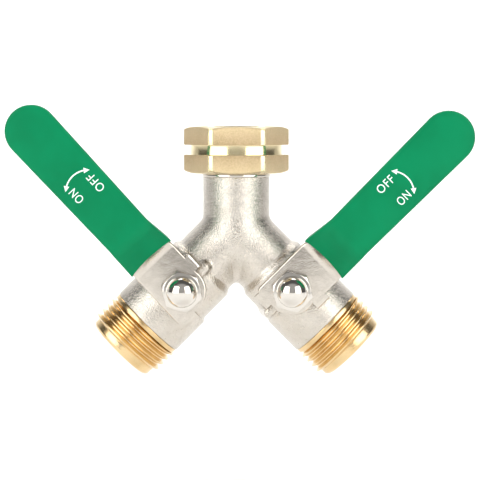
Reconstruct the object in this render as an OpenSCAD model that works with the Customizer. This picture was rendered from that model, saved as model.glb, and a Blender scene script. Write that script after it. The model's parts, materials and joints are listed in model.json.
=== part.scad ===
// Two-way garden hose splitter: a Y-shaped body with a swivel inlet nut at the top and a
// quarter-turn ball valve in each outlet branch. Millimetres. The inlet axis is +Z, +X runs
// towards the right-hand outlet, and -Y is the front, where the levers are. The origin is on
// the inlet axis, at the first crest of the swivel nut's thread.
// The hose threads are drawn as rings at the true pitch, so their crests are true cylinders.

/* [Hose thread] */
// Outside diameter of the outlet threads
hose_major_d = 26.99; // [25:0.01:30]
// Root diameter of the outlet threads
hose_root_d = 24.1; // [22:0.01:24.5]
// Crest diameter of the nut's inside thread
nut_crest_d = 24.7; // [24:0.01:26]
// Root diameter of the nut's inside thread
nut_root_d = 27.3; // [27:0.01:29.5]
// Pitch of both hose threads
hose_pitch = 2.2087; // [2:0.0001:2.5]
// Number of thread crests on each outlet
outlet_crests = 4; // [2:1:5]
// Number of thread crests in the nut
nut_crests = 3; // [2:1:3]

/* [Swivel nut] */
// Width of the nut across its flats
nut_af = 30.5; // [29.5:0.1:38]
// Diameter to which the nut's corners are turned
nut_corner_d = 34.5; // [33:0.1:44]
// Height of the nut
nut_h = 15.4; // [15:0.1:22]
// Height of the turned groove around the nut's middle
nut_groove_h = 3.2; // [1:0.1:5]
// Depth of that groove below the flats
nut_groove_depth = 0.15; // [0.1:0.05:1.2]
// Height of the plain mouth above the first thread crest
nut_mouth = 1.3; // [0.8:0.1:2]
// Thickness of the nut's floor
nut_floor = 1.9; // [1.2:0.1:2.5]
// Diameter at which the corner chamfers start
nut_face_d = 30; // [28:0.1:36]

/* [Inlet neck] */
// Diameter of the neck
neck_d = 21.9; // [20.5:0.1:27]
// Diameter of the water passage down the neck
neck_bore_d = 14; // [11:0.1:15]
// Diameter of the spigot that the nut turns on
spigot_d = 20.3; // [16.5:0.1:22]
// Diameter of the turned collar under the nut
collar_d = 22.6; // [21.5:0.1:28]
// Height of that collar
collar_h = 0.9; // [0.5:0.1:2]
// Depth of the meeting point of the three passages below the origin
centre_drop = 33.8; // [30:0.1:45]
// Wire diameter of the ring that retains the nut
ring_wire_d = 1.1; // [0.8:0.05:1.3]
// Width of the gap in that ring
ring_gap = 3; // [1:0.1:6]

/* [Inlet washer] */
// Outside diameter of the hose washer
washer_od = 25.4; // [24:0.1:26.5]
// Inside diameter of the hose washer
washer_id = 16; // [14.5:0.1:18]
// Thickness of the hose washer
washer_t = 3; // [2:0.1:3.2]

/* [Branches] */
// Angle of each branch from the straight-down direction
branch_angle = 45; // [42:1:55]
// Diameter of each branch next to the neck
arm_d = 22.3; // [20.5:0.1:26]
// Diameter of the water passage into each valve
port_d = 11.6; // [9:0.1:12.5]
// Distance from the meeting point to each valve's stem
stem_reach = 25; // [24:0.1:32]
// Wall around the ball
housing_wall = 2.4; // [1.5:0.1:4]
// Wall around the outlet nipple's tail thread
barrel_wall = 2.2; // [1.5:0.1:4]
// Length of the sloping shoulder between branch and valve housing
shoulder_l = 1.8; // [1:0.1:3]

/* [Ball and seats] */
// Diameter of the ball
ball_d = 19; // [17:0.1:23]
// Diameter of the hole through the ball
ball_bore_d = 11; // [8:0.1:11.5]
// Inside diameter of the seats
seat_id = 11.6; // [10:0.1:12.5]
// Width of each seat's land against the ball
seat_land = 1.9; // [1:0.1:2.2]
// Thickness of each seat behind that land
seat_rim = 1.3; // [0.8:0.1:2.5]
// Width of the blade that turns the ball
tang_t = 3; // [2:0.1:4]
// Length of the blade that turns the ball
tang_l = 7; // [5:0.1:8]
// Depth that the blade reaches into the ball
tang_depth = 2.4; // [1.5:0.1:2.8]

/* [Outlet nipple] */
// Length of the nipple's tail inside the barrel
tail_l = 7.5; // [7:0.1:12]
// Crest height of the tail thread beyond the valve chamber
tail_step = 1.1; // [0.8:0.05:1.5]
// Pitch of the tail thread
tail_pitch = 1.5; // [1.25:0.05:1.6]
// Number of tail thread crests
tail_crests = 3; // [2:1:3]
// Diameter of the collar against the barrel
nipple_collar_d = 26; // [25:0.1:30]
// Width of that collar
nipple_collar_l = 1.5; // [1:0.1:3]
// Diameter of the open end's bore
nipple_bore_d = 17.2; // [13:0.1:19]
// Length of the plain lead-in at the open end
nipple_lead_l = 3.5; // [2:0.1:5]

/* [Valve stem] */
// Diameter of the stem
stem_d = 6.4; // [5.5:0.1:7.8]
// Diameter of the flange that keeps the stem in
flange_d = 9.4; // [8.6:0.1:10.5]
// Thickness of that flange
flange_t = 1.7; // [1:0.1:2.5]
// Thickness of the thrust washer on it
thrust_t = 0.8; // [0.5:0.1:1.5]
// Length of the stem's sealed part
gland_l = 4; // [3.4:0.1:7]
// Section diameter of the stem's O-rings
o_ring_d = 1; // [0.8:0.05:1.1]
// Width across the stem's two flats
stem_flats = 4.8; // [4:0.1:5.3]
// Diameter of the round boss around the stem
boss_d = 13.2; // [12:0.1:14]
// Diameter of the stem's thread
stem_thread_d = 6.2; // [5.3:0.1:7.6]
// Thread length above the lever
stem_thread_l = 4.2; // [3:0.1:5]

/* [Lever] */
// Thickness of the lever plate
plate_t = 2.2; // [1.5:0.1:3]
// Width of the lever at the stem
hub_w = 16.4; // [15:0.1:20]
// Radius of the rounded corner of the hub
hub_r = 7.9; // [7.4:0.1:8.1]
// Width of the bare plate at its narrowest
waist_w = 14.6; // [11:0.1:18]
// Diameter of the bare plate's round end
tip_d = 15.8; // [13:0.1:20]
// Distance from the stem to the centre of the round end
lever_reach = 70; // [56:1:90]
// Distance from the stem to the start of the rising bend
bend_start = 12.3; // [12:0.1:16]
// Radius of both bends, at the middle of the plate
bend_r = 4.5; // [3.5:0.1:9]
// Steepest slope of the rise
bend_angle = 40; // [25:1:50]
// Height that the arm rises
lever_rise = 8; // [4:0.1:12]
// Depth of the stop tabs under the plate
tab_drop = 2.4; // [1.5:0.1:3]
// Outer end of the side tab, along the lever
side_tab_end = 7.1; // [5:0.1:9]

/* [Stops] */
// Width of the cast stop lug
lug_w = 3.1; // [2:0.1:4]
// Distance from the stem to the centre of the lug's round end
lug_reach = 10.4; // [8.6:0.1:10.8]
// Travel that the stops leave beyond the quarter turn, in degrees
over_travel = 2.2; // [0:0.1:4]

/* [Grip] */
// Thickness of the dipped vinyl
grip_t = 0.6; // [0.4:0.05:1.5]
// Distance from the stem to the edge of the vinyl
grip_start = 15.3; // [14.5:0.1:30]

/* [Cap nut] */
// Width of the cap nut across its flats
cap_af = 12; // [10:0.1:13]
// Height of its hexagon
cap_hex_h = 4.3; // [3.5:0.1:5]
// Diameter of its dome
cap_dome_d = 10.4; // [9:0.1:11]

/* [Clearances] */
// Radial clearance of the nut on its spigot
swivel_gap = 0.08; // [0.03:0.01:0.1]
// End play of the nut
nut_play = 0.15; // [0.1:0.01:0.3]
// Clearance of the ball in its seats
seat_gap = 0.05; // [0.02:0.01:0.1]
// Clearance of the ball in its chamber
chamber_gap = 0.4; // [0.3:0.05:0.8]
// Radial clearance of the stem in its gland
stem_gap = 0.06; // [0.03:0.01:0.1]
// Clearance between pieces that are fixed together
fixed_gap = 0.05; // [0.02:0.01:0.1]
// Clearance of the blade in the ball's slot
tang_gap = 0.1; // [0.05:0.01:0.2]
// Clearance between a stop tab and its lug
stop_gap = 0.04; // [0.02:0.01:0.1]
// Gap between the lever and what it turns over
lever_gap = 0.5; // [0.3:0.05:1]

/* [Hidden] */
$fn = 96;
LEFT = -1;
RIGHT = 1;
over = 40;          // what a cut runs on by, past the face that it opens
flank = tan(30);    // axial run of a thread flank for each unit of its height

// Heights along the inlet axis
nut_bottom = nut_mouth - nut_h;
floor_top = nut_bottom + nut_floor;
collar_top = nut_bottom - nut_play;
ring_z = floor_top + nut_play + ring_wire_d / 2;
spigot_top = ring_z + ring_wire_d / 2 + 1;
ring_groove_d = spigot_d - ring_wire_d + 0.6;
ring_mid_r = (ring_groove_d + ring_wire_d) / 2 + fixed_gap;

// Radii and places along a branch, measured from the meeting point
ball_r = ball_d / 2;
chamber_r = ball_r + chamber_gap;
housing_r = chamber_r + housing_wall;
seat_face = sqrt(pow(ball_r, 2) - pow(seat_id / 2 + seat_land, 2));
seat_back = sqrt(pow(ball_r, 2) - pow(seat_id / 2, 2)) + seat_rim;
seat_r = chamber_r - fixed_gap;
tail_r = chamber_r + tail_step;
tail_root_r = tail_r - 0.7;
tail_flat = (tail_pitch - 2 * (tail_r - tail_root_r) * flank) / 2;
barrel_r = tail_r + barrel_wall;
shoulder_end = stem_reach - seat_back + 0.2;
step_start = stem_reach + 2;
step_end = step_start + 1.2;
tail_start = stem_reach + seat_back;
barrel_end = tail_start + tail_l;
tail_first = barrel_end - 1.6 - (tail_crests - 1) * tail_pitch;
hose_flat = hose_pitch / 8;
hose_first = barrel_end + nipple_collar_l + (hose_major_d - hose_root_d) / 2 * flank + 0.1;
hose_last = hose_first + (outlet_crests - 1) * hose_pitch;
nipple_end = hose_last + (hose_major_d - hose_root_d) / 2 * flank + hose_flat + nipple_lead_l - 0.6;

// Heights along a stem, measured from the branch axis towards the front
flange_bottom = chamber_r + 0.3;
flange_top = flange_bottom + flange_t;
thrust_top = flange_top + thrust_t;
boss_top = max(thrust_top + gland_l - 0.3, housing_r + 3.8);
plate_bottom = boss_top + lever_gap;
plate_top = plate_bottom + plate_t;
gland_r = stem_d / 2 + stem_gap;
o_ring_r = gland_r - o_ring_d / 2 - 0.02;
groove_r = o_ring_r - o_ring_d / 2 - 0.02;
cap_bottom = plate_top + fixed_gap;
stem_top = plate_top + stem_thread_l;

// Lever outline: the tabs end where they meet the lug at each end of the travel
tab_t = plate_t - 0.1;
side_tab_start = lug_reach * sin(over_travel) + lug_w / 2 + stop_gap;
rear_tab_start = -(lug_w / 2 + stop_gap);
slope_l = (lever_rise - 2 * bend_r * (1 - cos(bend_angle))) / sin(bend_angle);
bend_end = bend_start + 2 * bend_r * sin(bend_angle) + slope_l * cos(bend_angle);

// Points of a row of thread crests, as [radius, place], from the first crest's near root
function crests(crest_r, root_r, flat, pitch, first, count) = [
    for (i = [0 : count - 1], k = [0 : 3])
        let (run = abs(crest_r - root_r) * flank + flat / 2, side = k < 2 ? -1 : 1)
        [k == 0 || k == 3 ? root_r : crest_r,
         first + i * pitch + side * (k == 0 || k == 3 ? run : flat / 2)]
];

// Middle line of the lever, as [along, height, slope], with each bend in short steps
function bend_line() = [
    for (a = [0 : 5 : bend_angle]) [
        bend_start + bend_r * sin(a), bend_r * (1 - cos(a)), a],
    for (a = [bend_angle : -5 : 0]) [
        bend_end - bend_r * sin(a), lever_rise - bend_r * (1 - cos(a)), a]
];

// Puts a shape drawn along +Z onto a branch's axis, with z measured from the meeting point
module on_branch(side) {
    translate([0, 0, -centre_drop]) rotate([0, side * (180 - branch_angle), 0]) children();
}

// Puts a shape at a stem: x to the right of the lever, y along it, z towards the front
module at_stem(side, heading) {
    stem_x = side * stem_reach * sin(branch_angle);
    stem_z = -centre_drop - stem_reach * cos(branch_angle);
    translate([stem_x, 0, stem_z]) rotate([0, 90 - heading, 0]) rotate([90, 0, 0]) children();
}

// Where each lever points when its valve is shut: square to its branch, and the left one
// right against its stop
function shut_heading(side) = side == RIGHT
    ? branch_angle
    : 180 - branch_angle - over_travel;

// Direction of each valve's lug from its stem: up the left branch, square off the right one
function lug_heading(side) = side == RIGHT ? 180 + branch_angle : 90 - branch_angle;

module ring(outer_r, inner_r, from, to) {
    translate([0, 0, from]) difference() {
        cylinder(r = outer_r, h = to - from);
        translate([0, 0, -1]) cylinder(r = inner_r, h = to - from + 2);
    }
}

module torus(mid_r, section_d) {
    rotate_extrude() translate([mid_r, 0]) circle(d = section_d, $fn = 48);
}

// A hexagon across its flats, with its two end corners turned away at 30 degrees
module hexagon_block(af, corner_d, face_d, h, chamfer_low) {
    drop = (corner_d - face_d) / 2 * flank;
    intersection() {
        cylinder(d = af / cos(30), h = h, $fn = 6);
        rotate_extrude() polygon([
            [0, 0],
            [chamfer_low ? face_d / 2 : corner_d / 2, 0],
            [corner_d / 2, chamfer_low ? drop : 0.01],
            [corner_d / 2, h - drop], [face_d / 2, h], [0, h]]);
    }
}

// --- Body -------------------------------------------------------------------------------

module branch_outside() {
    rotate_extrude() polygon([
        [0, 0], [arm_d / 2, 0], [arm_d / 2, shoulder_end - shoulder_l],
        [housing_r, shoulder_end], [housing_r, step_start],
        [barrel_r, step_end], [barrel_r, barrel_end - 0.3],
        [barrel_r - 0.3, barrel_end], [0, barrel_end]]);
}

module branch_passage() {
    thread = crests(tail_r + fixed_gap, tail_root_r + fixed_gap, tail_flat, tail_pitch,
        tail_first, tail_crests);
    rotate_extrude() polygon(concat(
        [[0, 0], [port_d / 2, 0], [port_d / 2, stem_reach - seat_back],
         [chamber_r, stem_reach - seat_back], [chamber_r, tail_start + 0.8],
         [tail_root_r + fixed_gap, tail_start + 0.8]],
        thread,
        [[tail_root_r + fixed_gap, barrel_end - 0.6], [tail_r + fixed_gap, barrel_end],
         [tail_r + fixed_gap, barrel_end + 1], [0, barrel_end + 1]]));
}

module stem_boss(side) {
    lug_h = boss_top - 0.3 - chamber_r / 2;
    lug_root = boss_d / 2 - 1;
    cylinder(d = boss_d, h = boss_top);
    rotate([0, 0, lug_heading(side) - 90]) {
        translate([0.1 - lug_w / 2, lug_root, chamber_r / 2])
            cube([lug_w - 0.2, lug_reach - lug_root, lug_h]);
        translate([0, lug_reach, chamber_r / 2]) cylinder(d = lug_w, h = lug_h);
    }
}

module stem_hole() {
    cylinder(r = flange_d / 2 + 0.2, h = thrust_top + fixed_gap);
    cylinder(r = gland_r, h = over);
}

module y_body() {
    spigot_r = spigot_d / 2;
    color("lightgray") difference() {
        union() {
            translate([0, 0, -centre_drop]) rotate_extrude() polygon([
                [0, 0], [neck_d / 2, 0], [neck_d / 2, collar_top + centre_drop - collar_h],
                [collar_d / 2, collar_top + centre_drop - collar_h],
                [collar_d / 2, collar_top + centre_drop],
                [spigot_r, collar_top + centre_drop],
                [spigot_r, ring_z + centre_drop - ring_wire_d / 2 - fixed_gap],
                [ring_groove_d / 2, ring_z + centre_drop - ring_wire_d / 2 - fixed_gap],
                [ring_groove_d / 2, ring_z + centre_drop + ring_wire_d / 2 + fixed_gap],
                [spigot_r, ring_z + centre_drop + ring_wire_d / 2 + fixed_gap],
                [spigot_r, spigot_top + centre_drop], [0, spigot_top + centre_drop]]);
            translate([0, 0, -centre_drop]) sphere(d = max(neck_d, arm_d) + 0.6);
            for (side = [LEFT, RIGHT]) {
                on_branch(side) branch_outside();
                at_stem(side, 90) stem_boss(side);
            }
        }
        translate([0, 0, -centre_drop]) cylinder(d = neck_bore_d, h = over);
        translate([0, 0, -centre_drop]) sphere(d = neck_bore_d + 0.8);
        for (side = [LEFT, RIGHT]) {
            on_branch(side) branch_passage();
            at_stem(side, 90) stem_hole();
        }
    }
}

// --- Inlet ------------------------------------------------------------------------------

module swivel_nut() {
    groove_r = nut_af / 2 - nut_groove_depth;
    flange_h = (nut_h - nut_groove_h) / 2;
    color("burlywood") difference() {
        translate([0, 0, nut_bottom])
            hexagon_block(nut_af, nut_corner_d, nut_face_d, nut_h, true);
        ring(nut_corner_d, groove_r, nut_bottom + flange_h, nut_mouth - flange_h);
        translate([0, 0, nut_bottom - 1]) cylinder(r = spigot_d / 2 + swivel_gap, h = nut_h);
        rotate_extrude() polygon(concat(
            [[0, nut_mouth + 1], [nut_root_d / 2 + 0.3, nut_mouth + 1],
             [nut_root_d / 2 + 0.3, nut_mouth]],
            [for (p = crests(nut_crest_d / 2, nut_root_d / 2, hose_flat, hose_pitch,
                 hose_flat / 2, nut_crests)) [p[0], -p[1]]],
            [[nut_root_d / 2, floor_top], [0, floor_top]]));
    }
}

// Spring wire ring, open at the back
module nut_retaining_ring() {
    color("silver") translate([0, 0, ring_z]) difference() {
        torus(ring_mid_r, ring_wire_d);
        translate([-ring_gap / 2, 0, -ring_wire_d])
            cube([ring_gap, ring_mid_r + ring_wire_d, 2 * ring_wire_d]);
    }
}

module inlet_washer() {
    color("dimgray") ring(washer_od / 2, washer_id / 2, spigot_top, spigot_top + washer_t);
}

// --- Outlet nipple and valve trim ---------------------------------------------------------

module outlet_nipple(side) {
    tail = crests(tail_r, tail_root_r, tail_flat, tail_pitch, tail_first, tail_crests);
    hose = crests(hose_major_d / 2, hose_root_d / 2, hose_flat, hose_pitch, hose_first,
        outlet_crests);
    root_r = hose_root_d / 2;
    collar_end = barrel_end + nipple_collar_l;
    bore_start = tail_start + 3;
    color("goldenrod") on_branch(side) rotate_extrude() polygon(concat(
        [[seat_id / 2, tail_start], [seat_r, tail_start], [seat_r, tail_start + 0.8],
         [tail_root_r, tail_start + 0.8 + fixed_gap]],
        tail,
        [[tail_root_r, barrel_end], [nipple_collar_d / 2, barrel_end],
         [nipple_collar_d / 2, collar_end], [root_r, collar_end]],
        hose,
        [[root_r, nipple_end - 0.8], [root_r - 0.8, nipple_end],
         [nipple_bore_d / 2 + 0.4, nipple_end], [nipple_bore_d / 2, nipple_end - 0.4],
         [nipple_bore_d / 2, bore_start + 1.2], [seat_id / 2, bore_start]]));
}

// Seat ring, with its face shaped to the ball; end is -1 for the inlet side, 1 for the outlet
module seat(side, end) {
    color("ivory") on_branch(side) translate([0, 0, stem_reach]) difference() {
        ring(seat_r, seat_id / 2, end > 0 ? seat_face : -seat_back,
            end > 0 ? seat_back : -seat_face);
        sphere(r = ball_r + seat_gap);
    }
}

module ball(side) {
    slot_floor = ball_r - tang_depth - tang_gap;
    color("gainsboro") at_stem(side, shut_heading(side)) difference() {
        sphere(r = ball_r);
        rotate([90, 0, 0]) cylinder(d = ball_bore_d, h = over, center = true);
        translate([-over / 2, -tang_t / 2 - tang_gap, slot_floor])
            cube([over, tang_t + 2 * tang_gap, over]);
    }
}

module stem(side) {
    seal_step = gland_l / 2 - 0.2;
    color("darkkhaki") at_stem(side, shut_heading(side)) difference() {
        union() {
            translate([-tang_l / 2, -tang_t / 2, ball_r - tang_depth])
                cube([tang_l, tang_t, flange_bottom - ball_r + tang_depth + 0.5]);
            translate([0, 0, flange_bottom]) cylinder(d = flange_d, h = flange_t);
            translate([0, 0, flange_top]) cylinder(d = stem_d, h = plate_bottom - flange_top);
            intersection() {
                translate([0, 0, plate_bottom - 0.5]) rotate_extrude() polygon([
                    [0, 0], [stem_d / 2, 0], [stem_d / 2, plate_t + 0.5],
                    [stem_thread_d / 2, plate_t + 0.5],
                    [stem_thread_d / 2, plate_t + stem_thread_l],
                    [stem_thread_d / 2 - 0.5, plate_t + stem_thread_l + 0.5],
                    [0, plate_t + stem_thread_l + 0.5]]);
                translate([-over / 2, -stem_flats / 2, plate_bottom - 0.5])
                    cube([over, stem_flats, over]);
            }
        }
        for (i = [0, 1])
            ring(stem_d, groove_r, seal_z(i) - o_ring_d / 2 - fixed_gap,
                seal_z(i) + o_ring_d / 2 + fixed_gap);
    }
}

function seal_z(i) = thrust_top + o_ring_d / 2 + 0.4 + i * (o_ring_d + 0.6);

module thrust_washer(side) {
    color("white") at_stem(side, shut_heading(side))
        ring(flange_d / 2, stem_d / 2 + fixed_gap, flange_top, thrust_top);
}

module stem_o_rings(side) {
    color("black") at_stem(side, shut_heading(side))
        for (i = [0, 1]) translate([0, 0, seal_z(i)]) torus(o_ring_r, o_ring_d);
}

// --- Lever --------------------------------------------------------------------------------

// Plate seen from the front; grow widens the arm all round, and starts it at from
module arm_outline(grow, from) {
    hull_w = hub_w + (waist_w - hub_w) * max(0, from - bend_start) / (bend_end - bend_start);
    polygon([
        [-hull_w / 2 - grow, from], [hull_w / 2 + grow, from],
        [waist_w / 2 + grow, bend_end], [tip_d / 2 + grow, lever_reach],
        [-tip_d / 2 - grow, lever_reach], [-waist_w / 2 - grow, bend_end]]);
    translate([0, lever_reach]) circle(d = tip_d + 2 * grow);
}

module hub_outline() {
    corner = 1.2;
    circle(r = hub_r);
    polygon([[-hub_w / 2, bend_start + 0.01], [-hub_w / 2, corner - hub_r],
        [corner - hub_w / 2, -hub_r], [rear_tab_start, -hub_r], [rear_tab_start, 0],
        [0, side_tab_start], [hub_w / 2, side_tab_start], [hub_w / 2, bend_start + 0.01]]);
}

// Side view of the lever carried across its width; grow thickens it on both faces
module bent_slab(grow, from) {
    half = plate_t / 2 + grow;
    mid = plate_bottom + plate_t / 2;
    line = bend_line();
    low = [for (p = line) [p[0] + half * sin(p[2]), mid + p[1] - half * cos(p[2])]];
    high = [for (i = [len(line) - 1 : -1 : 0]) let (p = line[i])
        [p[0] - half * sin(p[2]), mid + p[1] + half * cos(p[2])]];
    far = lever_reach + tip_d;
    rotate([90, 0, 90]) linear_extrude(height = over, center = true) polygon(concat(
        [[from, mid - half]], low, [[far, mid + lever_rise - half]],
        [[far, mid + lever_rise + half]], high, [[from, mid + half]]));
}

module lever_plate() {
    intersection() {
        linear_extrude(height = over) union() {
            hub_outline();
            arm_outline(0, bend_start);
        }
        bent_slab(0, -2 * hub_r);
    }
}

module stop_tabs() {
    translate([hub_w / 2 - 0.01, side_tab_start, plate_bottom - tab_drop])
        cube([tab_t, side_tab_end - side_tab_start, plate_t + tab_drop]);
    translate([1.2 - hub_w / 2, -hub_r - tab_t + 0.01, plate_bottom - tab_drop])
        cube([rear_tab_start - 1.2 + hub_w / 2, tab_t, plate_t + tab_drop]);
}

module lever(side) {
    color("lightgray") at_stem(side, shut_heading(side)) difference() {
        union() {
            lever_plate();
            stop_tabs();
        }
        intersection() {
            cylinder(d = stem_d + 2 * fixed_gap, h = over);
            translate([-over / 2, -stem_flats / 2 - fixed_gap, 0])
                cube([over, stem_flats + 2 * fixed_gap, over]);
        }
    }
}

// Vinyl skin dipped over the arm, closed round the tip and open at the hub end
module grip(side) {
    color("seagreen") at_stem(side, shut_heading(side)) difference() {
        intersection() {
            linear_extrude(height = over) arm_outline(grip_t, grip_start);
            bent_slab(grip_t, 0);
        }
        intersection() {
            linear_extrude(height = over) arm_outline(fixed_gap / 5, bend_start);
            bent_slab(fixed_gap / 5, 0);
        }
    }
}

module cap_nut(side) {
    color("silver") at_stem(side, shut_heading(side)) translate([0, 0, cap_bottom]) difference() {
        union() {
            rotate([0, 0, side == LEFT ? 0 : 30])
                hexagon_block(cap_af, cap_af / cos(30) - 0.1, cap_af - 0.2, cap_hex_h, false);
            translate([0, 0, cap_hex_h]) sphere(d = cap_dome_d);
        }
        translate([0, 0, -over + stem_thread_l + 0.5])
            cylinder(d = stem_thread_d + 2 * fixed_gap, h = over);
    }
}

y_body();
swivel_nut();
nut_retaining_ring();
inlet_washer();
outlet_nipple(LEFT);  // left_outlet_nipple
seat(LEFT, -1);  // left_inner_seat
seat(LEFT, 1);  // left_outer_seat
ball(LEFT);  // left_ball
stem(LEFT);  // left_stem
thrust_washer(LEFT);  // left_thrust_washer
stem_o_rings(LEFT);  // left_stem_o_rings
lever(LEFT);  // left_lever
grip(LEFT);  // left_grip
cap_nut(LEFT);  // left_cap_nut
outlet_nipple(RIGHT);  // right_outlet_nipple
seat(RIGHT, -1);  // right_inner_seat
seat(RIGHT, 1);  // right_outer_seat
ball(RIGHT);  // right_ball
stem(RIGHT);  // right_stem
thrust_washer(RIGHT);  // right_thrust_washer
stem_o_rings(RIGHT);  // right_stem_o_rings
lever(RIGHT);  // right_lever
grip(RIGHT);  // right_grip
cap_nut(RIGHT);  // right_cap_nut
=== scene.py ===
"""Two-way hose splitter: the finished looks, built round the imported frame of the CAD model."""
import json
import math

import bmesh
import bpy
import numpy as np
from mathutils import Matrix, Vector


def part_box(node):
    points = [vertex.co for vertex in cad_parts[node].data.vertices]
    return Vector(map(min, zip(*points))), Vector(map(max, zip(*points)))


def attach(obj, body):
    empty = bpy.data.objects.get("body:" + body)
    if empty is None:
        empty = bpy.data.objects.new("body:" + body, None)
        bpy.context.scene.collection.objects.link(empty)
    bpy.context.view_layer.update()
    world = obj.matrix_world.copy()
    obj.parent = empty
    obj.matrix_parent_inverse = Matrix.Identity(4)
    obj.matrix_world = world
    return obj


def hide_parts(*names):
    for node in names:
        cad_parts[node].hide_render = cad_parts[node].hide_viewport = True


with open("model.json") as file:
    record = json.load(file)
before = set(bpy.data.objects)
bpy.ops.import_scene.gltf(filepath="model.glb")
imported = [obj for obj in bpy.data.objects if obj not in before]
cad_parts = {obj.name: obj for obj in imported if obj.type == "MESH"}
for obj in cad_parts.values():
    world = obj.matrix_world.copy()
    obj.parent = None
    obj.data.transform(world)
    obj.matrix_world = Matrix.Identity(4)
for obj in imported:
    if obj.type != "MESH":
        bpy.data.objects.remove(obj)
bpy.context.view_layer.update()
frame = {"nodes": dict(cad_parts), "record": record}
record = frame["record"]
joints = {j["name"]: j for j in record["behaviour"]["joints"]}
MM = 0.001


# --- Forged body --------------------------------------------------------------------------
# The body is one brass forging, nickel-plated: a neck, two branches at 45 degrees, a boss for
# each valve stem and a cast lug that stops each lever. The neck's spigot and collar are turned.

SIDES = {"left": -1, "right": 1}
branch_tilt = math.radians(45)
stem_points = {s: np.array(joints[s + "_lever_turn"]["pos_m"]) / MM for s in SIDES}
stem_reach = 25.0
centre = np.array([0, 0, stem_points["right"][2] + stem_reach * math.cos(branch_tilt)])
arm_r, neck_r, housing_r, barrel_r = 11.15, 10.95, 12.3, 13.2
shoulder_t, step_t, barrel_t = 16.4, 27.0, 41.32
chamber_r, port_r, neck_bore_r, tail_bore_r = 9.9, 5.8, 7.0, 11.05
seat_t = 8.82
boss_r, boss_top, lug_half, lug_reach = 6.6, 16.4, 1.55, 10.4
gland_r, flange_r, thrust_top = 3.26, 4.9, 12.75
neck_fillet, branch_fillet, boss_fillet, lug_fillet = 0.9, 1.8, 1.6, 1.4
end_round, lug_round, passage_round = 0.5, 1.1, 0.3
lug_draft, lug_foot, lug_below_boss = 0.10, 3, 0.3
collar_r, spigot_r, collar_z = 11.3, 10.15, (-15.15, -14.25)
spigot_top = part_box("inlet_washer")[0][2] / MM
ring_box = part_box("nut_retaining_ring")


def branch_axes(side):
    """Right, front and outward directions of a branch: outward leans 45 degrees from straight down."""
    lean = SIDES[side] * math.sin(branch_tilt)
    out = np.array([lean, 0, -math.cos(branch_tilt)])
    front = np.array([0, -1.0, 0])
    return np.array([np.cross(front, out), front, out])


def soft_min(a, b, k):
    """The smaller of two distances, with a fillet of about k where they are equal."""
    h = np.clip(k - np.abs(a - b), 0, None) / k
    return np.minimum(a, b) - h * h * k / 4


def soft_max(a, b, k):
    """The larger of two distances, with a rounded edge of about k where they are equal."""
    return -soft_min(-a, -b, k)


def ramp(t, start, end):
    """0 before start, 1 after end, and a smooth S between: 3x^2 - 2x^3."""
    x = np.clip((t - start) / (end - start), 0, 1)
    return x * x * (3 - 2 * x)


def along(p, origin, axis):
    """Distance along an axis and distance from it, for points p."""
    q = p - origin
    t = q @ axis
    return t, np.sqrt(np.maximum((q * q).sum(-1) - t * t, 0))


def body_field(p):
    """Distance from points p in millimetres to the forging's skin: less than 0 inside the metal.

    The neck and the branches are radius minus a profile along their axes, joined by soft_min;
    bosses and lugs are added the same way, and every passage is taken away by soft_max.
    """
    from_centre = np.sqrt(((p - centre) ** 2).sum(-1))
    up, off = along(p, centre, np.array([0, 0, 1.0]))
    skin = np.where(up > 0, off - neck_r, from_centre - neck_r)
    hollow = np.where(up > 0, off - neck_bore_r, from_centre - neck_bore_r - 0.4)
    arms = None
    for side in SIDES:
        axes = branch_axes(side)
        t, r = along(p, centre, axes[2])
        profile = (arm_r + (housing_r - arm_r) * ramp(t, shoulder_t - 2.2, shoulder_t + 0.3)
                   + (barrel_r - housing_r) * ramp(t, step_t - 0.3, step_t + 1.6))
        arm = np.where(t > 0, r - profile, from_centre - arm_r)
        arm = soft_max(arm, t - barrel_t, end_round)
        stem = stem_points[side]
        w, r_stem = along(p, stem, axes[1])
        boss = soft_max(np.maximum(r_stem - boss_r, -w), w - boss_top, end_round)
        lug_way = axes[2] * -1 if side == "left" else axes[0] * -SIDES[side]
        reach = np.clip((p - stem) @ lug_way, 0, lug_reach)
        foot = stem + reach[..., None] * lug_way
        half = lug_half + lug_draft * np.clip(boss_top - lug_foot - w, 0, None)
        q = p - foot
        across = np.sqrt(np.maximum((q * q).sum(-1) - (q @ axes[1]) ** 2, 0))
        lug = soft_max(np.maximum(across - half, -w), w - boss_top + lug_below_boss, lug_round)
        arm = soft_min(soft_min(arm, boss, boss_fillet), lug, lug_fillet)
        arms = arm if arms is None else soft_min(arms, arm, branch_fillet)
        passage = np.where(t > 0, r - port_r, from_centre - port_r)
        chamber = np.maximum(r - chamber_r, stem_reach - seat_t - t)
        tail = np.maximum(r - tail_bore_r, stem_reach + seat_t + 0.8 - t)
        gland = np.minimum(np.maximum(r_stem - gland_r, -w),
                           np.maximum(r_stem - flange_r, np.maximum(w - thrust_top, -w)))
        hollow = np.minimum.reduce([hollow, passage, chamber, tail, gland])
    skin = np.maximum(soft_min(skin, arms, neck_fillet), p[..., 2] - collar_z[0] - 0.2)
    return soft_max(skin, -hollow, passage_round)


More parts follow.
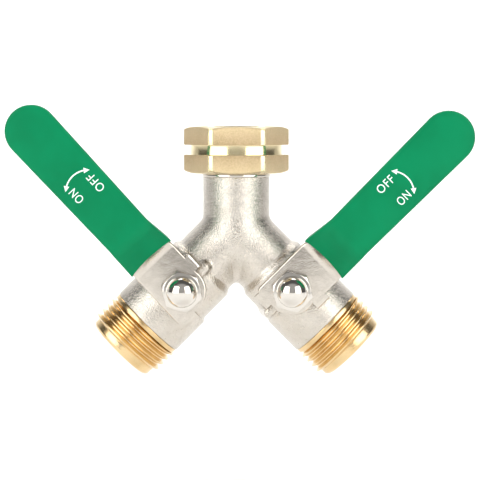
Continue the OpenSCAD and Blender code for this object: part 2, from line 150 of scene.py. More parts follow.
def skin_net(field, low, high, cell):
    """Quads over the zero surface of a field, as (points, faces).

    One point stands in each grid cell that the surface crosses, at the mean of the crossings
    on its edges, and then slides down the field's slope onto the surface.
    """
    ticks = [np.arange(a, b + cell, cell) for a, b in zip(low, high)]
    grid = np.stack(np.meshgrid(*ticks, indexing="ij"), -1)
    value = field(grid)
    solid = value < 0
    shape = np.array(value.shape) - 1
    total, count = np.zeros((*shape, 3)), np.zeros(shape)
    corners = [np.array(c) for c in np.ndindex(2, 2, 2)]

    def part(a, c):
        return a[c[0]:c[0] + shape[0], c[1]:c[1] + shape[1], c[2]:c[2] + shape[2]]

    for a in corners:
        for axis in range(3):
            if a[axis]:
                continue
            b = a + np.eye(3, dtype=int)[axis]
            fa, fb = part(value, a), part(value, b)
            cut = part(solid, a) != part(solid, b)
            share = np.where(cut, fa / np.where(cut, fa - fb, 1), 0)[..., None]
            total += np.where(cut[..., None], part(grid, a) * (1 - share) + part(grid, b) * share, 0)
            count += cut
    used = count > 0
    number = np.full(shape, -1)
    number[used] = np.arange(used.sum())
    points = total[used] / count[used][:, None]
    faces = []
    for axis in range(3):
        one, two = (axis + 1) % 3, (axis + 2) % 3
        step = np.eye(3, dtype=int)
        first = tuple(slice(0, n) for n in shape)
        ahead = tuple(slice(e, n + e) for e, n in zip(step[axis], shape))
        cut = solid[first] != solid[ahead]
        at = np.argwhere(cut)
        at = at[(at[:, one] > 0) & (at[:, two] > 0)]
        ring = np.stack([number[tuple((at - a * step[one] - b * step[two]).T)]
                         for a, b in ((0, 0), (1, 0), (1, 1), (0, 1))], 1)
        outward = solid[tuple(at.T)]
        ring[~outward] = ring[~outward][:, ::-1]
        faces.append(ring)
    faces = np.concatenate(faces)
    eye = np.eye(3) * 0.02
    for _ in range(4):
        here = field(points)
        slope = np.stack([field(points + e) - field(points - e) for e in eye], 1) / 0.04
        move = slope * (here / np.maximum((slope ** 2).sum(1), 0.25))[:, None]
        points -= np.clip(move, -cell / 2, cell / 2)
    return points, faces


def grid_faces(rows, columns, closed):
    """Quads of a grid of points; closed joins the last row to the first."""
    i, j = np.meshgrid(np.arange(rows if closed else rows - 1), np.arange(columns - 1), indexing="ij")
    i, j = i.ravel(), j.ravel()
    k = (i + 1) % rows
    return np.stack([i * columns + j, i * columns + j + 1, k * columns + j + 1, k * columns + j], 1)


def rounded(corners, radius, steps, closed=True):
    """A line through corners (K, S, 2) with each corner cut back by radius and curved.

    Each corner P becomes the curve (1-x)^2 A + 2x(1-x) P + x^2 B, with A and B on its two sides.
    """
    before, after = np.roll(corners, 1, 0), np.roll(corners, -1, 0)
    back, on = before - corners, after - corners
    back_l = np.linalg.norm(back, axis=-1, keepdims=True) + 1e-9
    on_l = np.linalg.norm(on, axis=-1, keepdims=True) + 1e-9
    cut = np.broadcast_to(np.reshape(radius, (-1, 1, 1)), back_l.shape)
    if not closed:
        cut = cut.copy()
        cut[0] = cut[-1] = 0
    a = corners + back / back_l * np.minimum(cut, back_l * 0.45)
    b = corners + on / on_l * np.minimum(cut, on_l * 0.45)
    x = np.linspace(0, 1, steps + 1)[None, :, None, None]
    curve = (1 - x) ** 2 * a[:, None] + 2 * x * (1 - x) * corners[:, None] + x ** 2 * b[:, None]
    return curve.reshape(-1, *corners.shape[1:])


def turned(line, angle):
    """Surface of a meridian line (rows, angles, 2) of radius and height, swept round by angle."""
    r, z = line[..., 0], line[..., 1]
    return np.stack([r * np.cos(angle), r * np.sin(angle), z], -1)


def full_turn(sides):
    """Angles of one whole turn, with the first repeated at the end."""
    return np.linspace(0, 2 * math.pi, sides + 1)


def same_all_round(profile, sides):
    """One meridian of (radius, height) corners, repeated for every angle."""
    return np.repeat(np.array(profile, float)[:, None], sides + 1, 1)


def make_piece(name, sheets, axes=np.eye(3), origin=(0, 0, 0), sharp=32, marks=None):
    """One object from sheets of (points in millimetres, faces), placed by axes and origin.

    A point x, y, z of a sheet lands at origin + x * axes[0] + y * axes[1] + z * axes[2]. Points
    closer than 0.002 mm are joined, and marks is a value for each point, kept as "turned".
    """
    points, faces, start = [], [], 0
    for p, f in sheets:
        p = p.reshape(-1, 3)
        points.append(p)
        faces.extend((f + start).tolist())
        start += len(p)
    points = (np.concatenate(points) @ np.asarray(axes) + np.asarray(origin)) * MM
    mesh = bpy.data.meshes.new(name)
    mesh.from_pydata(points.tolist(), [], faces)
    if marks is not None:
        layer = mesh.attributes.new("turned", "FLOAT", "POINT")
        layer.data.foreach_set("value", np.concatenate([np.ravel(m) for m in marks]).astype(np.float32))
    return finish_mesh(name, mesh, sharp)


def finish_mesh(name, mesh, sharp=32):
    """Joins doubles, turns the faces outwards and shades smooth up to the sharp angle."""
    work = bmesh.new()
    work.from_mesh(mesh)
    bmesh.ops.remove_doubles(work, verts=work.verts, dist=2e-6)
    bmesh.ops.dissolve_degenerate(work, edges=work.edges, dist=1e-6)
    bmesh.ops.recalc_face_normals(work, faces=work.faces)
    work.to_mesh(mesh)
    work.free()
    mesh.polygons.foreach_set("use_smooth", np.ones(len(mesh.polygons), bool))
    mesh.set_sharp_from_angle(angle=math.radians(sharp))
    piece = bpy.data.objects.new(name, mesh)
    bpy.context.scene.collection.objects.link(piece)
    return piece


class Socket:
    """A shader value. Sums and products of it add Math nodes to its material."""

    def __init__(self, shader, link):
        self.shader, self.link = shader, link

    def math(self, operation, *others):
        return self.shader.node("ShaderNodeMath", {"operation": operation}, [self, *others])

    def __add__(self, other):
        return self.math("ADD", other)

    def __sub__(self, other):
        return self.math("SUBTRACT", other)

    def __rsub__(self, other):
        return self.math("MULTIPLY", -1).math("ADD", other)

    def __mul__(self, other):
        return self.math("MULTIPLY", other)

    __radd__, __rmul__ = __add__, __mul__

    def step(self, low, high):
        """0 below low, 1 above high, smooth between; low may be the larger."""
        settings = {"interpolation_type": "SMOOTHSTEP"}
        return self.shader.node("ShaderNodeMapRange", settings, {0: self, 1: low, 2: high, 3: 0.0, 4: 1.0})


class Shader:
    """A node material with one Principled shader."""

    def __init__(self, name, **fixed):
        self.material = bpy.data.materials.new(name)
        self.material.use_nodes = True
        self.tree = self.material.node_tree
        self.surface = self.tree.nodes["Principled BSDF"]
        for socket, value in fixed.items():
            self.surface.inputs[socket.replace("_", " ")].default_value = value

    def node(self, kind, settings=(), inputs=(), output=0):
        """Adds a node: its settings first, then the values or links of its sockets."""
        made = self.tree.nodes.new(kind)
        for key, value in dict(settings).items():
            setattr(made, key, value)
        inputs = inputs.items() if isinstance(inputs, dict) else enumerate(inputs)
        for key, value in inputs:
            if isinstance(value, Socket):
                self.tree.links.new(value.link, made.inputs[key])
            else:
                made.inputs[key].default_value = value
        return Socket(self, made.outputs[output])

    def place(self):
        """Object coordinates, in metres."""
        return self.node("ShaderNodeTexCoord", output="Object")

    def noise(self, scale, detail=2.0, vector=None, roughness=0.5):
        """Noise about 0.5, with scale in waves per metre."""
        return self.node("ShaderNodeTexNoise", {}, {
            "Vector": vector or self.place(), "Scale": scale, "Detail": detail, "Roughness": roughness})

    def attribute(self, name):
        return self.node("ShaderNodeAttribute", {"attribute_name": name}, output="Fac")

    def mix(self, factor, a, b):
        """Colour a where factor is 0 and b where it is 1."""
        return self.node("ShaderNodeMix", {"data_type": "RGBA"}, {0: factor, 6: a, 7: b}, output=2)

    def bump(self, height, strength, distance):
        return self.node("ShaderNodeBump", {}, {"Strength": strength, "Distance": distance, "Height": height})

    def set(self, **links):
        for socket, value in links.items():
            self.tree.links.new(value.link, self.surface.inputs[socket.replace("_", " ")])
        return self


def paint(piece, shader):
    piece.data.materials.clear()
    piece.data.materials.append(shader.material)


def show(piece, shader, body, slot, *nodes):
    """Gives a piece its finish and its body, and hides the CAD nodes that it stands for. The slot is not
    used.
    """
    paint(piece, shader)
    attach(piece, body)
    if nodes:
        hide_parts(*nodes)
    return piece


NICKEL = (0.66, 0.61, 0.54, 1)
NICKEL_DULL = (0.57, 0.52, 0.45, 1)
nickel = Shader("nickel_plate", Metallic=1.0)
grain = nickel.noise(2900, 1)
mottle = nickel.noise(260, 3)
turned_part = nickel.attribute("turned")
pits = grain.step(0.50, 0.72)
nickel.set(
    Base_Color=nickel.mix(mottle.step(0.35, 0.75) * 0.5 + pits * 0.4 - turned_part * 0.4,
                          NICKEL, NICKEL_DULL),
    Roughness=0.20 + mottle * 0.08 + pits * 0.06 - turned_part * 0.12,
    Normal=nickel.bump(grain * (1 - turned_part), 1.0, 0.00016))

net_low, net_high, net_cell = (-44, -17.5, -74), (44, 14, -14), 0.46
body_net = skin_net(body_field, net_low, net_high, net_cell)
ring_groove_r, ring_gap = 9.9, 0.05
neck_line = [
    (neck_bore_r, spigot_top), (neck_bore_r, collar_z[0] - 1), (neck_r - 0.4, collar_z[0] - 1),
    (neck_r - 0.02, collar_z[0] - 0.15), (collar_r, collar_z[0]), (collar_r, collar_z[1]),
    (spigot_r, collar_z[1]), (spigot_r, ring_box[0][2] / MM - ring_gap),
    (ring_groove_r, ring_box[0][2] / MM - ring_gap), (ring_groove_r, ring_box[1][2] / MM + ring_gap),
    (spigot_r, ring_box[1][2] / MM + ring_gap), (spigot_r, spigot_top)]
neck_rows = rounded(same_all_round(neck_line, 144), 0.15, 3)
neck_sheet = turned(neck_rows, full_turn(144)), grid_faces(len(neck_rows), 145, True)
body = make_piece("forged_body", [body_net, neck_sheet], sharp=50,
                  marks=[np.zeros(len(body_net[0])), np.ones(neck_rows.shape[:2])])
show(body, nickel, "fitting", "nickel_plate", "y_body")


# --- Retaining ring and washer ------------------------------------------------------------
# A split ring of spring wire holds the nut on the spigot, and a moulded rubber hose washer
# lies on the spigot's end inside the nut.

spring = Shader("spring_wire", Metallic=1.0)
spring.set(Base_Color=spring.mix(spring.noise(900), (0.42, 0.42, 0.42, 1), (0.58, 0.57, 0.55, 1)),
           Roughness=0.28 + spring.noise(2200) * 0.2)
paint(frame["nodes"]["nut_retaining_ring"], spring)

rubber = Shader("black_rubber")
rubber_dust = rubber.noise(700, 4)
rubber.set(Base_Color=rubber.mix(rubber_dust, (0.012, 0.012, 0.012, 1), (0.035, 0.034, 0.033, 1)),
           Roughness=0.55 + rubber_dust * 0.25, Normal=rubber.bump(rubber.noise(5200), 0.3, 0.0001))
low, high = (np.array(c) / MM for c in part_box("inlet_washer"))
washer_hole_r = 8
washer_line = same_all_round([(washer_hole_r, low[2]), (high[0], low[2]), (high[0], high[2]),
                              (washer_hole_r, high[2])], 128)
washer_rows = rounded(washer_line, 0.45, 5)
washer = make_piece("hose_washer", [(turned(washer_rows, full_turn(128)),
                                     grid_faces(len(washer_rows), 129, True))])
show(washer, rubber, "fitting", "black_rubber", "inlet_washer")


# --- Swivel nut ---------------------------------------------------------------------------
# Bare brass hexagon with two flanges and a turned groove between them. The flats are left
# finely blasted; groove, chamfers and mouth are turned bright. The thread inside is cut.

nut_low, nut_high = (np.array(c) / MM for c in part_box("swivel_nut"))
nut_flat, nut_corner_r, nut_groove_r, nut_face_r = nut_high[1], 17.25, 15.1, 14.75
nut_groove_w = 3.2
nut_flange = (nut_high[2] - nut_low[2] - nut_groove_w) / 2
nut_hole_r, nut_floor = 10.23, nut_low[2] + 1.9
PITCH = 2.2087
FLAT = PITCH / 8
nut_crest_r, nut_root_r = 12.35, 13.65
TAN30 = math.tan(math.radians(30))
CHAMFER = math.tan(math.radians(20))


def hexagon_radius(angle, flat, corner_r):
    """Radius at an angle of a hexagon with a corner at angle 0, turned down to radius corner_r.

    It is flat / cos(angle from the flat's middle), and no more than corner_r.
    """
    return soft_min(flat / np.cos(angle % (math.pi / 3) - math.pi / 6), corner_r, 0.06)


def hexagon_angles(sides, towards):
    """A full turn with its angles drawn together at the six corners, which lie at towards."""
    u = full_turn(sides)
    return u - 0.115 * np.sin(6 * (u - towards))


def cut_thread(low, high, start, crest, root, runs, angle):
    """A right-hand helical thread between two heights, as (points, faces).

    Row k at angle a stands at start + PITCH * (k + a / 2 pi), held between low and high, so
    rows follow the helix. The radius is the flank's, root + (crest - root) * (0 to 1), and the
    height of the crest grows from 0 at each end over the two lengths in runs.
    """
    half = abs(crest - root) * TAN30 + FLAT / 2
    offset = np.array([0, 0.5 - half / PITCH, 0.5 - half / PITCH + 0.02, 0.5 - FLAT / PITCH / 2 - 0.02,
                       0.5 - FLAT / PITCH / 2 + 0.01, 0.5 + FLAT / PITCH / 2 - 0.01,
                       0.5 + FLAT / PITCH / 2 + 0.02, 0.5 + half / PITCH - 0.02, 0.5 + half / PITCH])
    turns = np.arange(-2, math.ceil((high - start) / PITCH) + 1)
    phase = (turns[:, None] + offset).ravel()
    flank = (half - np.abs(offset - 0.5) * PITCH) / (half - FLAT / 2)
    lift = np.tile(np.clip(flank, 0, 1), len(turns))[:, None]
    z = np.clip(start + PITCH * (phase[:, None] + angle / (2 * math.pi)), low, high)
    grow = ramp(z, low, low + runs[0]) * (1 - ramp(z, high - runs[1], high))
    r = root + (crest - root) * lift * grow
    return turned(np.stack([r, z], -1), angle), grid_faces(len(phase), len(angle), False)


def chamfered_hexagon(angle, flat, corner, face, z_edge, z_face):
    """Where a 20 degree cone cuts a hexagon: (side radius, side height) and (face radius, height)."""
    side = hexagon_radius(angle, flat, corner)
    rim = np.minimum(side - 0.02, face)
    way = math.copysign(1, z_face - z_edge)
    return (np.stack([side, z_face - way * (side - rim) * CHAMFER], -1),
            np.stack([rim, np.full_like(side, z_face)], -1))


nut_sides = 288
nut_angle = hexagon_angles(nut_sides, 0.0)
top_side, top_face = chamfered_hexagon(nut_angle, nut_flat, nut_corner_r, nut_face_r, 0, nut_high[2])
low_side, low_face = chamfered_hexagon(nut_angle, nut_flat, nut_corner_r, nut_face_r, 0, nut_low[2])
side_r = top_side[:, 0]


def nut_ring(radius, height):
    return np.stack([np.broadcast_to(radius, side_r.shape), np.full_like(side_r, height)], -1)


thread_low, thread_high = -5.9, nut_high[2] - 0.35
nut_line = np.stack([
    nut_ring(nut_root_r, thread_high), nut_ring(nut_root_r + 0.35, nut_high[2]), top_face, top_side,
    nut_ring(side_r, nut_high[2] - nut_flange), nut_ring(nut_groove_r, nut_high[2] - nut_flange),
    nut_ring(nut_groove_r, nut_low[2] + nut_flange), nut_ring(side_r, nut_low[2] + nut_flange),
    low_side, low_face, nut_ring(nut_hole_r, nut_low[2]), nut_ring(nut_hole_r, nut_floor),
    nut_ring(nut_root_r, nut_floor), nut_ring(nut_root_r, thread_low)])
nut_cuts = np.array([0, 0.1, 0.3, 0.45, 0.28, 0.12, 0.12, 0.28, 0.45, 0.3, 0.2, 0.1, 0.3, 0])
nut_bright = np.array([1, 1, 1, 0.3, 0, 1, 1, 0, 0.3, 1, 1, 1, 1, 1.0])
nut_rows = rounded(nut_line, nut_cuts, 4, closed=False)
nut_marks = np.repeat(nut_bright, 5)[:, None] * np.ones(nut_sides + 1)
shine_from, shine_ramp, shine_most, flange_from = 17.05, 0.12, 0.9, 15.2
corner_shine = np.clip((side_r - shine_from) / shine_ramp, 0, 1) * shine_most
nut_marks = np.maximum(nut_marks, np.where(nut_rows[..., 0] > flange_from, corner_shine, 0))
nut_thread = cut_thread(thread_low, thread_high, thread_low, nut_crest_r, nut_root_r, (0.6, 0.9), nut_angle)
nut = make_piece("swivel_nut_brass", [
    (turned(nut_rows, nut_angle), grid_faces(len(nut_rows), nut_sides + 1, False)), nut_thread],
    marks=[nut_marks, np.ones(nut_thread[0].shape[:2])], sharp=28)

BRASS = (0.51, 0.375, 0.205, 1)
BRASS_PALE = (0.68, 0.52, 0.32, 1)
BRASS_TURNED = (0.88, 0.75, 0.46, 1)
blasted = Shader("blasted_brass", Metallic=1.0)
shine = blasted.attribute("turned")
blast = blasted.noise(2600, 3, roughness=0.7)
cloud = blasted.noise(180, 3)
patches = cloud.step(0.3, 0.8) * 0.35 + blast.step(0.35, 0.65) * 0.65
blasted.set(
    Base_Color=blasted.mix(shine, blasted.mix(patches, BRASS_PALE, BRASS), BRASS_TURNED),
    Roughness=0.42 + blast * 0.12 - shine * 0.34,
    Normal=blasted.bump(blast * (1 - shine), 1.0, 0.0004))
show(nut, blasted, "inlet_nut", "blasted_brass", "swivel_nut")


# --- Seats, balls and stems ---------------------------------------------------------------
# Each valve holds a drilled, chromed ball between two PTFE seats. A brass stem put in from
# inside turns it by a blade in its slot, sealed by two O-rings over a PTFE washer.

ptfe = Shader("ptfe", Roughness=0.4)
ptfe.set(Base_Color=ptfe.mix(ptfe.noise(400), (0.80, 0.79, 0.75, 1), (0.88, 0.87, 0.84, 1)),
         Normal=ptfe.bump(ptfe.noise(3000), 0.2, 0.0001))
chrome = Shader("polished_chrome", Metallic=1.0)
chrome_haze = chrome.noise(900, 4)
chrome.set(Base_Color=chrome.mix(chrome_haze, (0.68, 0.64, 0.58, 1), (0.74, 0.70, 0.64, 1)),
           Roughness=0.05 + chrome_haze * 0.05,
           Normal=chrome.bump(chrome.noise(420, 2), 0.10, 0.0004))
stem_brass = Shader("stem_brass", Metallic=1.0)
stem_brass.set(Base_Color=stem_brass.mix(stem_brass.noise(500), (0.72, 0.53, 0.25, 1), (0.83, 0.65, 0.36, 1)),
               Roughness=0.22 + stem_brass.noise(2600) * 0.15)
for side in SIDES:
    for part, shader in (("inner_seat", ptfe), ("outer_seat", ptfe), ("thrust_washer", ptfe),
                         ("ball", chrome), ("stem", stem_brass), ("stem_o_rings", rubber)):
        paint(frame["nodes"][f"{side}_{part}"], shader)


# --- Outlet nipples -----------------------------------------------------------------------
# Turned from bright brass bar: a tail inside the barrel that presses on the outer seat, a
# smooth collar against the barrel's end, the hose thread and a plain lead-in at the open end.

nipple_collar_r, nipple_collar_l = 13.0, 1.5
hose_crest_r, hose_root_r = 13.495, 12.05
hose_low = barrel_t + nipple_collar_l
hose_high = 52.0
hose_first = 43.758
nipple_end = 54.39
tail_line = [(hose_root_r, hose_high), (hose_root_r, nipple_end - 0.9), (hose_root_r - 0.9, nipple_end),
             (9.0, nipple_end), (8.6, nipple_end - 0.4), (8.6, 38.0), (5.8, 36.8), (5.8, 33.82),
             (9.85, 33.82), (9.85, 34.6), (10.95, 35.4), (10.95, barrel_t - 0.02),
             (nipple_collar_r, barrel_t - 0.02), (nipple_collar_r, hose_low),
             (hose_root_r, hose_low)]
tail_cuts = np.array([0, 0.4, 0.4, 0.15, 0.15, 0.5, 0.3, 0.2, 0.2, 0.1, 0.3, 0.1, 0.3, 0.3, 0.0])
bright = Shader("bright_brass", Metallic=1.0)
swirl = bright.noise(1500, 3)
stain = bright.noise(130, 4)
bright.set(
    Base_Color=bright.mix(stain.step(0.4, 0.75), (0.80, 0.60, 0.33, 1), (0.70, 0.49, 0.24, 1)),
    Roughness=0.15 + swirl * 0.14,
    Normal=bright.bump(bright.noise(2600, 2), 0.25, 0.00012))
for side in SIDES:
    rows = rounded(same_all_round(tail_line, 192), tail_cuts, 4, closed=False)
    body_sheet = turned(rows, full_turn(192)), grid_faces(len(rows), 193, False)
    thread = cut_thread(hose_low, hose_high, hose_first - 0.75 * PITCH, hose_crest_r, hose_root_r,
                        (0.15, 0.9), full_turn(192))
    nipple = make_piece(side + "_nipple_brass", [body_sheet, thread], branch_axes(side), centre, sharp=28)
    show(nipple, bright, "fitting", "bright_brass", side + "_outlet_nipple")


# --- Levers -------------------------------------------------------------------------------
# Stamped from 2.2 mm steel and nickel-plated: a hub with a rounded corner, two stop tabs
# folded down, a rise and a long arm. Both valves use the same stamping, so neither is mirrored.

plate_low, plate_high, plate_round = 16.9, 19.1, 0.75
hole_r, hole_flat = 3.25, 2.45
hub_half, hub_r, waist_half, tip_r, lever_reach = 8.2, 7.9, 7.3, 7.9, 70.0
bend_start, bend_r, bend_slope, lever_rise = 12.3, 4.5, math.radians(40), 8.0
bend_end = (bend_start + 2 * bend_r * math.sin(bend_slope)
            + (lever_rise - 2 * bend_r * (1 - math.cos(bend_slope))) / math.tan(bend_slope))
over_travel, stop_gap = 2.2, 0.04
side_tab = (lug_reach * math.sin(math.radians(over_travel)) + lug_half + stop_gap, 7.1)
rear_tab, tab_drop, tab_t = (-7.0, -lug_half - stop_gap), 2.4, 2.1
headings = {"right": 45.0, "left": 180 - 45 - over_travel}
valve_body = {"left": "left_valve", "right": "right_valve"}


def lever_axes(side):
    """Right of the lever, along it and towards the front, for the way it points when shut."""
    a = math.radians(headings[side])
    return np.array([[math.sin(a), 0, -math.cos(a)], [math.cos(a), 0, math.sin(a)], [0, -1, 0]])


def arc(cx, cy, radius, start, end, steps):
    """Points of an arc, from one angle in degrees to another."""
    a = np.radians(np.linspace(start, end, steps))
    return np.stack([cx + radius * np.cos(a), cy + radius * np.sin(a)], 1)


def slab(outline, low, high, edge, steps=4):
    """A flat plate (points, faces): an outline of (x, y) points, its two rims rounded by edge.

    The edge is one radius, or one for each point of the outline. The rim moves in along
    the outline's normal by edge * (1 - cos q) and up by edge * sin q.
    """
    ahead, behind = np.roll(outline, -1, 0), np.roll(outline, 1, 0)
    way = ahead - behind
    way /= np.linalg.norm(way, axis=1, keepdims=True)
    inward = np.stack([-way[:, 1], way[:, 0]], 1)
    if (np.cross(outline, ahead)).sum() < 0:
        inward = -inward
    q = np.linspace(0, math.pi / 2, steps + 1)
    q, edge = q[:, None], np.broadcast_to(edge, len(outline))
    depth = np.concatenate([edge * (1 - np.sin(q)), edge * (1 - np.cos(q))])
    height = np.concatenate([low + edge * (1 - np.cos(q)), high - edge * (1 - np.sin(q))])
    flat = outline[None] + inward[None] * depth[..., None]
    points = np.concatenate([flat, height[..., None]], 2)
    rows, count = points.shape[:2]
    i, j = np.meshgrid(np.arange(rows - 1), np.arange(count), indexing="ij")
    k = (j + 1) % count
    quads = np.stack([i * count + j, i * count + k, (i + 1) * count + k, (i + 1) * count + j], -1)
    caps = [list(range(count))[::-1], list(range((rows - 1) * count, rows * count))]
    return points.reshape(-1, 3), quads.reshape(-1, 4).tolist() + caps


def solid(name, points, faces):
    """A loose mesh object in millimetres, for joining and cutting."""
    mesh = bpy.data.meshes.new(name)
    mesh.from_pydata(np.asarray(points).tolist(), [], faces)
    work = bmesh.new()
    work.from_mesh(mesh)
    bmesh.ops.remove_doubles(work, verts=work.verts, dist=1e-4)
    bmesh.ops.recalc_face_normals(work, faces=work.faces)
    work.to_mesh(mesh)
    work.free()
    made = bpy.data.objects.new(name, mesh)
    bpy.context.scene.collection.objects.link(made)
    return made


def combine(base, tool, operation):
    """Joins tool to base or cuts it away, and deletes tool."""
    cut = base.modifiers.new("cut", "BOOLEAN")
    cut.operation, cut.object, cut.solver = operation, tool, "EXACT"
    shown = base.evaluated_get(bpy.context.evaluated_depsgraph_get())
    mesh = bpy.data.meshes.new_from_object(shown)
    base.modifiers.clear()
    base.data = mesh
    bpy.data.objects.remove(tool)


def arm_rise(u):
    """Height and slope of the lever's middle line at distance u along the flat pattern's shadow."""
    first, second = bend_start + bend_r * math.sin(bend_slope), bend_end - bend_r * math.sin(bend_slope)
    one = np.clip((u - bend_start) / bend_r, 0, math.sin(bend_slope))
    two = np.clip((bend_end - u) / bend_r, 0, math.sin(bend_slope))
    rise = bend_r * (1 - np.sqrt(1 - one ** 2))
    rise = rise + np.clip(u - first, 0, second - first) * math.tan(bend_slope)
    top = lever_rise - bend_r * (1 - np.sqrt(1 - two ** 2))
    return np.where(u > second, top, rise), np.where(u > second, np.arcsin(two), np.arcsin(one))


def bend_and_place(flat, name, side, sharp):
    """Cuts a flat pattern across the bend, bends it and sets it at its stem.

    A point at u and height h above the middle moves to u - h sin(slope), rise + h cos(slope).
    """
    work = bmesh.new()
    work.from_mesh(flat.data)
    for u in np.linspace(bend_start, bend_end, 33):
        bmesh.ops.bisect_plane(work, geom=work.verts[:] + work.edges[:] + work.faces[:],
                               plane_co=(0, float(u), 0), plane_no=(0, 1, 0))
    mesh = bpy.data.meshes.new(name)
    work.to_mesh(mesh)
    work.free()
    bpy.data.objects.remove(flat)
    points = np.empty(len(mesh.vertices) * 3)
    mesh.vertices.foreach_get("co", points)
    points = points.reshape(-1, 3)
    middle = (plate_low + plate_high) / 2
    rise, slope = arm_rise(points[:, 1])
    h = points[:, 2] - middle
    points[:, 1] -= h * np.sin(slope)
    points[:, 2] = middle + rise + h * np.cos(slope)
    points = (points @ lever_axes(side) + stem_points[side]) * MM
    mesh.vertices.foreach_set("co", points.ravel())
    return finish_mesh(name, mesh, sharp)


def arm_outline(grow, start, start_half):
    """Outline of the arm beyond start, grown sideways: straight edges, a waist and a round tip."""
    tip = arc(0, lever_reach, tip_r + grow, 0, 180, 33)
    right = [(start_half + grow, start), (waist_half + grow, bend_end)]
    left = [(-waist_half - grow, bend_end), (-start_half - grow, start)]
    return np.concatenate([right, tip, left])


hub_corner_r = 1.3
hub_corner = arc(-hub_half + hub_corner_r, -hub_r + hub_corner_r, hub_corner_r, 180, 270, 6)
hub_arc = arc(0, 0, hub_r, -90 + 4, math.degrees(math.asin(side_tab[0] / hub_r)), 26)
lever_outline = np.concatenate([hub_corner, [(rear_tab[1], -hub_r)], hub_arc,
                                [(hub_half, side_tab[0])], arm_outline(0, bend_start, hub_half)])


def fold_down(length, across, out, swap):
    """A stop tab (points, faces): a strip that leaves the plate flat and folds down a quarter turn."""
    top, low = plate_high - 0.03, plate_low - tab_drop
    outer = np.concatenate([[(across - 1.5, top)], arc(across + tab_t - 1.7, top - 1.7, 1.7, 90, 0, 8),
                            [(across + tab_t, low)], [(across, low)], [(across, plate_low + 0.02)],
                            [(across - 1.5, plate_low + 0.05)]])
    ends = [np.column_stack([outer[:, 0] * out, np.full(len(outer), v), outer[:, 1]]) for v in length]
    points = np.concatenate(ends)
    if swap:
        points = points[:, [1, 0, 2]]
    count = len(outer)
    around = [[i, (i + 1) % count, (i + 1) % count + count, i + count] for i in range(count)]
    return points, around + [list(range(count))[::-1], list(range(count, 2 * count))]


PLATE = (0.66, 0.61, 0.54, 1)
PLATE_DULL = (0.60, 0.55, 0.48, 1)
plated = Shader("plated_steel", Metallic=1.0)
dapple = plated.noise(420, 4, roughness=0.6)
fine = plated.noise(3000, 2)
plated.set(
    Base_Color=plated.mix(dapple.step(0.35, 0.7), PLATE, PLATE_DULL),
    Roughness=0.17 + dapple * 0.09 + fine * 0.04,
    Normal=plated.bump(dapple * 0.7 + fine * 0.3, 0.30, 0.0004))
for side in SIDES:
    lever = solid("lever", *slab(lever_outline, plate_low, plate_high, plate_round, 5))
    combine(lever, solid("tab", *fold_down(side_tab, hub_half, 1, False)), "UNION")
    combine(lever, solid("tab", *fold_down(rear_tab, hub_r, -1, True)), "UNION")
    hole = arc(0, 0, hole_r, 0, 360, 65)[:-1]
    hole[:, 1] = np.clip(hole[:, 1], -hole_flat, hole_flat)
    combine(lever, solid("hole", *slab(hole, plate_low - 2, plate_high + 2, 0.01, 1)), "DIFFERENCE")
    lever = bend_and_place(lever, side + "_lever_plate", side, 30)
    show(lever, plated, valve_body[side], "plated_steel", side + "_lever")


# --- Grips --------------------------------------------------------------------------------
# Green vinyl that the arm was dipped in: a soft skin 0.6 mm thick with round edges and a
# closed tip. Its edge near the hub is a plain rim that bows out to the tip in the middle.

grip_start, grip_t, edge_bow, grip_round, cut_round = 15.3, 0.6, 0.8, 1.1, 0.25
GREEN = (0.0, 0.206, 0.078, 1)
GREEN_DEEP = (0.0, 0.180, 0.067, 1)
vinyl = Shader("green_vinyl", Specular_IOR_Level=0.12)
sag = vinyl.noise(90, 2)
vinyl.set(Base_Color=vinyl.mix(sag.step(0.3, 0.7), GREEN, GREEN_DEEP),
          Roughness=0.36 + vinyl.noise(600) * 0.08,
          Normal=vinyl.bump(vinyl.noise(160, 2), 0.12, 0.0008))
for side in SIDES:
    start_half = hub_half + (waist_half - hub_half) * (grip_start - bend_start) / (bend_end - bend_start)
    x = np.linspace(-1, 1, 15)[1:-1]
    bowed = np.column_stack([x * (start_half + grip_t), grip_start + edge_bow * (1 - x * x)])
    outline = np.concatenate([arm_outline(grip_t - 0.01, grip_start, start_half), bowed])
    rim = np.where(outline[:, 1] > grip_start + 1, grip_round, cut_round)
    grip = solid("grip", *slab(outline, plate_low - grip_t, plate_high + grip_t, rim, 7))
    core = solid("core", *slab(arm_outline(0.02, bend_start, hub_half), plate_low - 0.02,
                               plate_high + 0.02, 0.35))
    combine(grip, core, "DIFFERENCE")
    grip = bend_and_place(grip, side + "_vinyl_grip", side, 35)
    show(grip, vinyl, valve_body[side], "green_vinyl", side + "_grip")


# --- Cap nuts -----------------------------------------------------------------------------
# Domed hexagon nuts, polished and chromed, that hold each lever down on its stem.

